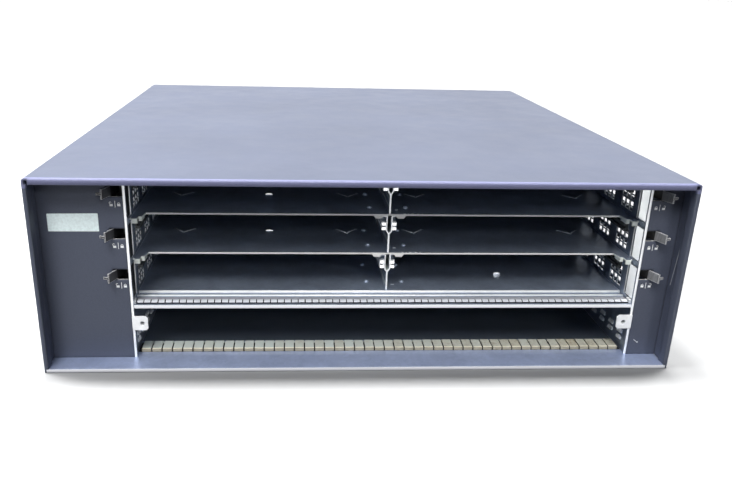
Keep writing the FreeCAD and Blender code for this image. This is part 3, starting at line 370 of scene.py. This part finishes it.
PAINT = (0.085, 0.097, 0.137)
ZINC = ((0.34, 0.40, 0.50), (0.27, 0.315, 0.40))
LOOKS = {
    "case_paint": paint("case_paint", PAINT, (0.26, 0.29, 0.30), 0.004, brow=(0.18, 0.19, 0.32)),
    # Painted shade: the panels take the cover's own paint darkened to 0.78, a shaded copy of one paint.
    "panel_paint": paint("panel_paint", shade(PAINT, 0.78), (0.24, 0.26, 0.28), bare=(0.42, 0.41, 0.40)),
    "zinc": plated("zinc", *ZINC),
    "bright_steel": plated("bright_steel", (0.90, 0.91, 0.93), (0.80, 0.82, 0.84), (0.16, 0.3), metallic=0.15),
    "lever_metal": lever_finish("lever_metal"),
    "guide_plastic": moulded("guide_plastic", (0.90, 0.92, 0.92), 0.4),
    "spring_gold": spring_metal(
        "spring_gold", LOWER_PITCH, -154.245, (-191.3, -192.2), near=(0.60, 0.65, 0.61), far=(0.52, 0.47, 0.34),
        crease_highlight=(0.93, 0.90, 0.74), drop=(0.30, 0.27, 0.19), stain=(0.26, 0.16, 0.08)),
    "spring_tin": spring_metal(
        "spring_tin", UPPER_PITCH, -154.175, (-193.0, -230.0), near=(0.36, 0.37, 0.42), far=(0.40, 0.41, 0.45),
        crease_highlight=(0.66, 0.68, 0.72), drop=(0.80, 0.80, 0.80), stain=(0.36, 0.36, 0.36)),
    "board": circuit_board("board"),
    "connector_plastic": moulded("connector_plastic", (0.022, 0.023, 0.025), 0.45),
    "fan_plastic": moulded("fan_plastic", (0.018, 0.019, 0.02), 0.5),
}
# Cage walls, dividers, lintel, pan and shelves have near-white edges and fronts as a painted highlight.
WALL_ZINC = plated("wall_zinc", *ZINC, edge=0.0009, front=True, edge_and_highlight_tone=(0.93, 0.95, 0.97), cut_metal=0.5)
DIVIDER_ZINC = plated("divider_zinc", *ZINC, streak=(90.0, 6.0, 90.0), edge=0.0009, front=True,
                      edge_and_highlight_tone=(0.95, 0.97, 0.98), cut_metal=0.5, drawn=(0.95, 1.0, 0.96))
LINTEL_ZINC = plated("lintel_zinc", *ZINC, edge=0.0009, front=True, edge_and_highlight_tone=(0.93, 0.95, 0.98),
                     shadow=(-196.3, -188.0))
# Painted shade: the pan is dark deep in the bays, and painted shadow lies under the lower strip.
PAN_ZINC = plated("pan_zinc", (0.39, 0.46, 0.66), (0.32, 0.38, 0.56), edge=0.0016, metallic=0.5, front=True,
                  edge_and_highlight_tone=(0.66, 0.67, 0.72), dim=(-176.0, (0.10, 0.12, 0.15)), shadow=(-192.1, -178.0))
# Painted highlight: the shelves' upright faces at the front are painted light.
SHELF_ZINC = plated("shelf_zinc", *ZINC, edge=0.0007, front=True, edge_and_highlight_tone=(0.95, 0.95, 0.92),
                    pale=(-176.3, (0.80, 0.84, 0.79)))
MIRROR_STEEL = plated("lance_steel", (0.97, 0.97, 0.97), (0.93, 0.94, 0.95), (0.08, 0.16), edge=0.0002,
                      metallic=1.0, cut_metal=1.0)
# Painted shade: the side card guides, white plastic like the others, are given a dark grey as they lie in shade.
SHADED_GUIDE = moulded("shaded_guide", (0.07, 0.075, 0.075), 0.5)
BY_NODE = {"cage_wall_left": WALL_ZINC, "cage_wall_right": WALL_ZINC, "base_pan": PAN_ZINC,
           "divider_lower": DIVIDER_ZINC, "divider_middle": DIVIDER_ZINC, "divider_upper": DIVIDER_ZINC,
           "shelf_upper": SHELF_ZINC, "shelf_middle": SHELF_ZINC, "io_bay_lintel": LINTEL_ZINC,
           "card_guides_left": SHADED_GUIDE, "card_guides_right": SHADED_GUIDE}
WHITE_INK = printed("white_ink", (0.94, 0.95, 0.96))
PALE_INK = printed("pale_ink", (0.86, 0.99, 1.0))
WORN = printed("worn_paint", (0.62, 0.64, 0.66))


def dress_nodes():
    """Gives each solid its own look, or that of its slot in the record."""
    for part in frame["record"]["subparts"]:
        data = NODES[part["node"]].data
        data.materials.clear()
        data.materials.append(BY_NODE.get(part["node"], LOOKS[part["material_slot"]]))


# Meshes

def add_piece(name, shape, material, smooth=False, body="chassis"):
    """A mesh piece from a shape in millimetres, riding on a body."""
    mesh = bpy.data.meshes.new(name)
    mesh.from_pydata([Vector(p) * MM for p in shape.points], [], shape.faces)
    mesh.validate()
    shell = bmesh.new()
    shell.from_mesh(mesh)
    bmesh.ops.recalc_face_normals(shell, faces=shell.faces)
    shell.to_mesh(mesh)
    shell.free()
    for polygon in mesh.polygons:
        polygon.use_smooth = smooth
    mesh.materials.append(material)
    piece = bpy.data.objects.new(name, mesh)
    SCENE.collection.objects.link(piece)
    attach(piece, body)
    return piece


class Shape:
    """Points and faces gathered from several solids."""

    def __init__(self):
        self.points = []
        self.faces = []

    def add(self, points, faces):
        first = len(self.points)
        self.points += points
        self.faces += [tuple(first + i for i in face) for face in faces]

    def ribbon(self, lower, upper):
        """A closed solid between two matching rows of cross sections, each a left and a right point."""
        count = len(lower)
        points = []
        for (a, b), (c, d) in zip(lower, upper):
            points += [a, b, d, c]
        faces = [(3, 2, 1, 0), tuple(4 * (count - 1) + i for i in range(4))]
        for k in range(count - 1):
            for i in range(4):
                j = (i + 1) % 4
                faces.append((4 * k + i, 4 * k + j, 4 * k + 4 + j, 4 * k + 4 + i))
        self.add(points, faces)

    def plate(self, outline, push):
        """A flat outline given thickness by a push vector."""
        count = len(outline)
        points = [Vector(p) for p in outline]
        points += [p + Vector(push) for p in points]
        faces = [tuple(range(count - 1, -1, -1)), tuple(range(count, 2 * count))]
        faces += [(i, (i + 1) % count, count + (i + 1) % count, count + i) for i in range(count)]
        self.add(points, faces)

    def turned(self, centre, up, profile, sides=20):
        """A solid of revolution: profile rows of radius and height, along the up direction."""
        up = Vector(up).normalized()
        flat = up.orthogonal().normalized()
        other = up.cross(flat)
        points = []
        faces = []
        for radius, height in profile:
            for k in range(sides):
                turn = 2 * math.pi * k / sides
                out = flat * math.cos(turn) + other * math.sin(turn)
                points.append(Vector(centre) + out * radius + up * height)
        for row in range(len(profile) - 1):
            for k in range(sides):
                a = row * sides + k
                b = row * sides + (k + 1) % sides
                faces.append((a, b, b + sides, a + sides))
        faces.append(tuple(range(sides - 1, -1, -1)))
        faces.append(tuple((len(profile) - 1) * sides + k for k in range(sides)))
        self.add(points, faces)


def rounded_path(corners, reach, steps=5):
    """A path with each inner corner replaced by a curve that starts and ends a reach away from it."""
    path = [Vector(corners[0])]
    for before, corner, after in zip(corners, corners[1:], corners[2:]):
        a, b, c = Vector(before), Vector(corner), Vector(after)
        start = b + (a - b).normalized() * min(reach, (a - b).length / 2)
        end = b + (c - b).normalized() * min(reach, (c - b).length / 2)
        for k in range(steps + 1):
            t = k / steps
            path.append(start * (1 - t) ** 2 + b * 2 * t * (1 - t) + end * t ** 2)
    return path + [Vector(corners[-1])]


def bent_sheet(shape, path, left, right, metal):
    """Sheet metal between two X places along a path in Y and Z, the path being its upper face."""
    lower, upper = [], []
    for k, point in enumerate(path):
        ahead = (path[min(k + 1, len(path) - 1)] - path[max(k - 1, 0)]).normalized()
        inner = point - Vector((ahead.y, -ahead.x)) * metal
        lower.append(((left, *inner), (right, *inner)))
        upper.append(((left, *point), (right, *point)))
    shape.ribbon(lower, upper)


def spring_strip(name, node, slot, profile, reach, pitch, slit):
    """Spring strip with separate bent fingers on a flat rail; the profile starts at the back of the rail."""
    low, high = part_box(node)
    left, right = low.x / MM, high.x / MM
    metal = 0.3
    shape = Shape()
    bent_sheet(shape, [Vector(p) for p in profile[:2]], left, right, metal)
    count = int((right - left + slit + 0.01) / pitch)
    start = (left + right - count * pitch + slit) / 2
    level = profile[1][1]
    for k in range(count):
        sag = 1 - CHANCE.uniform(0.0, 0.07)
        fingers = [(y, level + (z - level) * sag) for y, z in profile[1:]]
        x0 = start + k * pitch
        bent_sheet(shape, rounded_path(fingers, reach), x0, x0 + pitch - slit, metal)
    piece = add_piece(name, shape, LOOKS[slot])
    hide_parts(node)


def bead(name, y, z, radius):
    """Rolled bright edge across the cage, open at the back."""
    low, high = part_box("shelf_lower")
    edge = [Vector((y + radius * math.cos(math.radians(a)), z + radius * math.sin(math.radians(a))))
            for a in range(70, 256, 15)]
    shape = Shape()
    bent_sheet(shape, edge, low.x / MM + 0.2, high.x / MM - 0.2, 0.3)
    add_piece(name, shape, LOOKS["bright_steel"], smooth=True)


def arc(x, z, radius, start, end, steps=10):
    turns = [math.radians(start + (end - start) * k / steps) for k in range(steps + 1)]
    return [(x + radius * math.cos(a), z + radius * math.sin(a)) for a in turns]


def panel_plate(shape, outline, thick=0.05):
    """A thin print on the front panels."""
    shape.plate([(x, PANEL, z) for x, z in outline], (0, -thick, 0))


def padlock(shape, x, z, swing):
    """A padlock sign, 2.6 mm tall; an open one has its shackle swung out by an angle."""
    body = [(x - 1.0, z - 1.25), (x + 1.0, z - 1.25), (x + 1.0, z + 0.25), (x - 1.0, z + 0.25)]
    panel_plate(shape, body)
    foot = z + 0.2
    outer = arc(x, z + 0.5, 0.8, 0, 180)
    inner = arc(x, z + 0.5, 0.45, 180, 0)
    ring = [(outer[0][0], foot), *outer, (outer[-1][0], foot)]
    ring += [(inner[0][0], foot), *inner, (inner[-1][0], foot)]
    hinge = x - math.copysign(0.8, swing) if swing else x
    cosine, sine = math.cos(math.radians(swing)), math.sin(math.radians(swing))
    turned = []
    for a, b in ring:
        a, b = a - hinge, b - foot
        turned.append((hinge + a * cosine - b * sine, foot + a * sine + b * cosine))
    panel_plate(shape, turned)


def lever_signs():
    """Printed signs under each lever: a bar between an open and a closed padlock."""
    signs = (("left", -162.6, -160.2, -165.0, 50), ("right", 196.5, 194.0, 199.2, -50))
    for side, bar, closed, opened, swing in signs:
        shape = Shape()
        for z in (112.4, 84.0, 55.9):
            padlock(shape, closed, z, 0)
            padlock(shape, opened, z, swing)
            left, right, low, high = bar - 0.17, bar + 0.17, z - 2.0, z + 2.4
            panel_plate(shape, [(left, low), (right, low), (right, high), (left, high)])
        add_piece(f"lever_signs_{side}", shape, WHITE_INK)


def blank_field():
    """Pale printed field on the left panel, left blank."""
    corners = ((-174.4, 94.5, -90), (-174.4, 105.9, 0), (-205.8, 105.5, 90), (-205.8, 94.4, 180))
    outline = []
    for x, z, start in corners:
        outline += arc(x, z, 0.4, start, start + 90, 5)
    shape = Shape()
    panel_plate(shape, outline)
    add_piece("blank_field", shape, PALE_INK)


def scratches():
    """A knock on the right panel and a rubbed line inside the right side of the cover."""
    shape = Shape()
    panel_plate(shape, [(194.9, 14.3), (194.8, 13.9), (197.6, 11.9), (197.8, 12.3)])
    panel_plate(shape, arc(197.8, 12.1, 0.6, 0, 330, 11))
    line = [(-207.1, 94.0), (-206.8, 93.8), (-204.9, 76.0), (-202.5, 57.8), (-202.9, 57.7), (-205.3, 76.0)]
    shape.plate([(COVER_IN, y, z) for y, z in line], (-0.06, 0, 0))
    add_piece("scratches", shape, WORN)


def wall_webs():
    """Narrow webs that part each tall hole of the cage walls in two."""
    for side, x in (("left", -157.45), ("right", 189.9)):
        shape = Shape()
        for floor in ROW_FLOORS:
            for rise in (3.0, 11.35):
                z = floor + rise + 2.9
                for cluster in range(3):
                    for column in range(3):
                        front = HOLES_FROM + CLUSTER_STEP * cluster + HOLE_STEP * column - 0.1
                        back, top = front + 5.0, z + 0.8
                        web = [(x, front, top), (x, back, top), (x, back, z), (x, front, z)]
                        shape.plate(web, (0.7, 0, 0))
        add_piece(f"wall_webs_{side}", shape, LOOKS["zinc"])


def slit_tongues():
    """Bright tongues pressed out of the slits beside the bottom bay, turned to the front and upward."""
    for side, wall, sign in (("left", -156.7, 1), ("right", 189.85, -1)):
        shape = Shape()
        for column in range(6):
            y = SLITS_FROM + SLIT_STEP * column
            for z in (9.8, 14.9):
                spots = ((y, z, 0.9), (y + 5.8, z, 1.7), (y + 5.8, z + 2.4, 0.8), (y, z + 2.4, 0.05))
                points = [(wall + sign * rise, a, b) for a, b, rise in spots]
                points += [(wall - sign * 0.4, a, b) for a, b, rise in spots]
                sides = [(i, 4 + i, 4 + (i + 1) % 4, (i + 1) % 4) for i in range(4)]
                shape.add(points, [(0, 1, 2, 3), (7, 6, 5, 4)] + sides)
        add_piece(f"slit_tongues_{side}", shape, LOOKS["bright_steel"])


def block(shape, low, high):
    """A box between two corners."""
    (a, b, c), (d, e, f) = low, high
    shape.plate([(a, b, c), (d, b, c), (d, e, c), (a, e, c)], (0, 0, f - c))


def small_trim():
    """Aprons under the shelf ears, end clips of the upper strip, bare spots on slot edges, nicks on shelf edges."""
    for row, z in (("middle", ROW_FLOORS[1]), ("upper", ROW_FLOORS[2])):
        shape = Shape()
        for edges in ((-151.7, -149.5), (182.65, 184.85)):
            block(shape, (edges[0], -184.5, z - 3.2), (edges[1], -183.9, z))
        add_piece(f"ear_aprons_{row}", shape, SHELF_ZINC)
    shape = Shape()
    for a, b in ((-156.5, -154.9), (188.1, 189.6)):
        block(shape, (a, -196.7, 41.4), (b, -191.5, 43.9))
    add_piece("strip_clips", shape, LOOKS["bright_steel"])
    shape = Shape()
    for x, z in ((192.1, 117.45), (196.5, 117.45), (195.8, 88.95), (196.2, 60.45), (199.1, 60.45)):
        block(shape, (x - 0.4, PANEL + 0.1, z), (x + 0.4, PANEL + 0.9, z + 0.2))
    add_piece("bare_spots", shape, LOOKS["bright_steel"])
    shape = Shape()
    for z in ROW_FLOORS[1:]:
        for x, wide in ((27.6, 1.4), (30.6, 0.8), (33.0, 1.8), (37.2, 1.2), (40.4, 0.9)):
            block(shape, (x, -175.4, z), (x + wide, -174.6, z + 0.25))
    add_piece("edge_nicks", shape, LOOKS["bright_steel"])


def shelf_marks():
    """Rivets beside the dividers, pressed card rests and standing half-moon tongues on the shelves."""
    dome = [(1.7, 0.0), (1.68, 0.5), (1.5, 1.0), (1.05, 1.4), (0.5, 1.58), (0.12, 1.6)]
    dot = [(0.9, 0.0), (0.85, 0.2), (0.5, 0.36), (0.12, 0.4)]
    for row, z in zip(("lower", "middle", "upper"), ROW_FLOORS):
        shape = Shape()
        for x in (MIDDLE - 13.0, MIDDLE + 13.0):
            for y in (-160.5, -127.5):
                shape.turned((x, y, z), (0, 0, 1), dome)
        block(shape, (22.6, -166.4, z), (24.6, -165.6, z + 0.3))
        add_piece(f"shelf_rivets_{row}", shape, LOOKS["zinc"], smooth=True)
    for row, z in (("middle", ROW_FLOORS[1]), ("upper", ROW_FLOORS[2])):
        shape = Shape()
        for x in (-130.5, -8.3, 42.8, 165.2):
            for side in (-1, 1):
                rib = [(x, -133.8), (x + side * 7.0, -125.6), (x + side * 7.4, -124.6), (x, -132.4)]
                rib = rib if side > 0 else rib[::-1]
                shape.plate([(a, b, z) for a, b in rib], (0, 0, 0.25))
                shape.turned((x + side * 7.2, -125.0, z), (0, 0, 1), dot, 14)
            shape.turned((x, -133.4, z), (0, 0, 1), dot, 14)
        add_piece(f"card_rests_{row}", shape, LOOKS["zinc"], smooth=True)
    shape = Shape()
    for x, y, row in ((-67.0, -129.0, 2), (-67.0, -129.5, 1), (106.9, -145.0, 0)):
        half_moon(shape, x, y, ROW_FLOORS[row])
    add_piece("shelf_lances", shape, MIRROR_STEEL)


def guide_clips():
    """Bright clips, two on the front end of each guide beside the dividers."""
    shape = Shape()
    for floor in ROW_FLOORS:
        for x in (12.9, 20.2):
            for low in (16.4, 19.75):
                block(shape, (x, GUIDE_FRONT - 0.8, floor + low), (x + 2.85, GUIDE_FRONT, floor + low + 2.2))
    add_piece("guide_clips", shape, MIRROR_STEEL)


def rear_screws():
    """Pan-head screws down both sides of the rear panel."""
    head = [(2.9, 0.0), (2.9, 0.8), (2.6, 1.25), (1.6, 1.6), (0.9, 1.65), (0.8, 1.0), (0.1, 0.95)]
    shape = Shape()
    for x in (-205.0, 205.0):
        for z in (14.0, 66.7, 120.0):
            shape.turned((x, REAR, z), (0, 1, 0), head)
    add_piece("rear_screws", shape, LOOKS["bright_steel"], smooth=True)


def half_moon(shape, x, y, z):
    """A half-round tongue that stands on a shelf and leans back a little, so that it mirrors the front."""
    radius, metal, lean, rise, steps = 2.7, 0.4, 0.2, 1.0, 12
    lower, upper = [], []
    for k in range(steps + 1):
        t = k / steps
        half = radius * math.sqrt(max(0.0, 1 - (t * 0.999) ** 2))
        front, top = y + lean * t, z + rise * t
        lower.append(((x - half, front, top), (x + half, front, top)))
        upper.append(((x - half, front + metal, top), (x + half, front + metal, top)))
    shape.ribbon(lower, upper)


# Stage

def light_path_mix(tree, seen, other, output):
    """What the camera, mirrors and glass see, and what lights the object."""
    path = tree.nodes.new("ShaderNodeLightPath")
    value = path.outputs["Is Camera Ray"]
    for name in ("Is Glossy Ray", "Is Transmission Ray"):
        either = tree.nodes.new("ShaderNodeMath")
        either.operation = "MAXIMUM"
        tree.links.new(value, either.inputs[0])
        tree.links.new(path.outputs[name], either.inputs[1])
        value = either.outputs[0]
    mix = tree.nodes.new("ShaderNodeMixShader")
    tree.links.new(value, mix.inputs[0])
    tree.links.new(other, mix.inputs[1])
    tree.links.new(seen, mix.inputs[2])
    tree.links.new(mix.outputs[0], output)


def add_world():
    """White to the eye and in mirrors, nearly dark as a lamp."""
    world = bpy.data.worlds.new("studio")
    world.use_nodes = True
    SCENE.world = world
    tree = world.node_tree
    tree.nodes.clear()
    seen = tree.nodes.new("ShaderNodeBackground")
    seen.inputs["Color"].default_value = (1, 1, 1, 1)
    other = tree.nodes.new("ShaderNodeBackground")
    other.inputs["Color"].default_value = (0.92, 0.96, 1.0, 1)
    other.inputs["Strength"].default_value = 0.02
    output = tree.nodes.new("ShaderNodeOutputWorld")
    light_path_mix(tree, seen.outputs[0], other.outputs[0], output.inputs["Surface"])


def add_floor():
    """A wide white floor that keeps the shadow."""
    half = 40000.0
    mesh = bpy.data.meshes.new("floor")
    corners = ((-half, -half), (half, -half), (half, half), (-half, half))
    mesh.from_pydata([Vector((x, y, -0.2)) * MM for x, y in corners], [], [(0, 1, 2, 3)])
    material = bpy.data.materials.new("floor")
    material.use_nodes = True
    tree = material.node_tree
    tree.nodes.clear()
    seen = tree.nodes.new("ShaderNodeBsdfDiffuse")
    seen.inputs["Color"].default_value = (0.58, 0.583, 0.586, 1)
    other = tree.nodes.new("ShaderNodeBsdfDiffuse")
    other.inputs["Color"].default_value = (0.05, 0.052, 0.055, 1)
    output = tree.nodes.new("ShaderNodeOutputMaterial")
    light_path_mix(tree, seen.outputs[0], other.outputs[0], output.inputs["Surface"])
    mesh.materials.append(material)
    floor = bpy.data.objects.new("floor", mesh)
    SCENE.collection.objects.link(floor)


def add_lights():
    """Soft suns overhead and from the front, and two boxes at the left. Light from the front spares the floor."""
    spared = bpy.data.collections.new("spared")
    spared.objects.link(bpy.data.objects["floor"])
    spared.collection_objects[0].light_linking.link_state = "EXCLUDE"
    lamps = [(f"overhead_{k}", 1.95, 10, (-8.5, 12 * (k - 1), 0)) for k in range(3)]
    lamps.append(("front", 2.85, 26, (37, 0, -15)))
    lamps.append(("low", 0.6, 10, (63, 0, 20)))
    for name, energy, angle, turn in lamps:
        data = bpy.data.lights.new(name, "SUN")
        data.energy = energy
        data.angle = math.radians(angle)
        lamp = bpy.data.objects.new(name, data)
        lamp.rotation_euler = [math.radians(a) for a in turn]
        SCENE.collection.objects.link(lamp)
        if not name.startswith("overhead"):
            lamp.light_linking.receiver_collection = spared
    boxes = (("side", 19.0, (-0.9, -0.1, 1.0), (0, 0, 0.13)),
             ("front_left", 5.0, (-0.75, -0.75, 1.15), (-0.15, -0.2, 0.07)))
    for name, energy, place, aim in boxes:
        data = bpy.data.lights.new(name, "AREA")
        data.energy = energy
        data.size = 0.7
        lamp = bpy.data.objects.new(name, data)
        lamp.location = place
        lamp.rotation_euler = (Vector(aim) - Vector(place)).to_track_quat("-Z", "Y").to_euler()
        SCENE.collection.objects.link(lamp)
        if name == "front_left":
            lamp.light_linking.receiver_collection = spared


SCENE.view_settings.view_transform = "Standard"
add_camera()
add_world()
add_floor()
add_lights()
dress_nodes()
spring_strip("springs_lower", "gasket_strip_lower", "spring_gold",
             [(-177.9, 2.9), (-179.9, 2.9), (-181.1, 5.5), (-192.4, 5.1), (-192.4, 2.7)], 0.45, LOWER_PITCH, 0.9)
spring_strip("springs_upper", "gasket_strip_upper", "spring_tin",
             [(-186.4, 41.9), (-189.9, 41.9), (-194.1, 43.7), (-196.4, 42.4)], 1.3, UPPER_PITCH, 0.7)
bead("shelf_bead", -177.2, 41.75, 1.1)
bead("lintel_bead", -183.3, 41.55, 0.7)
lever_signs()
blank_field()
scratches()
wall_webs()
slit_tongues()
small_trim()
shelf_marks()
guide_clips()
rear_screws()
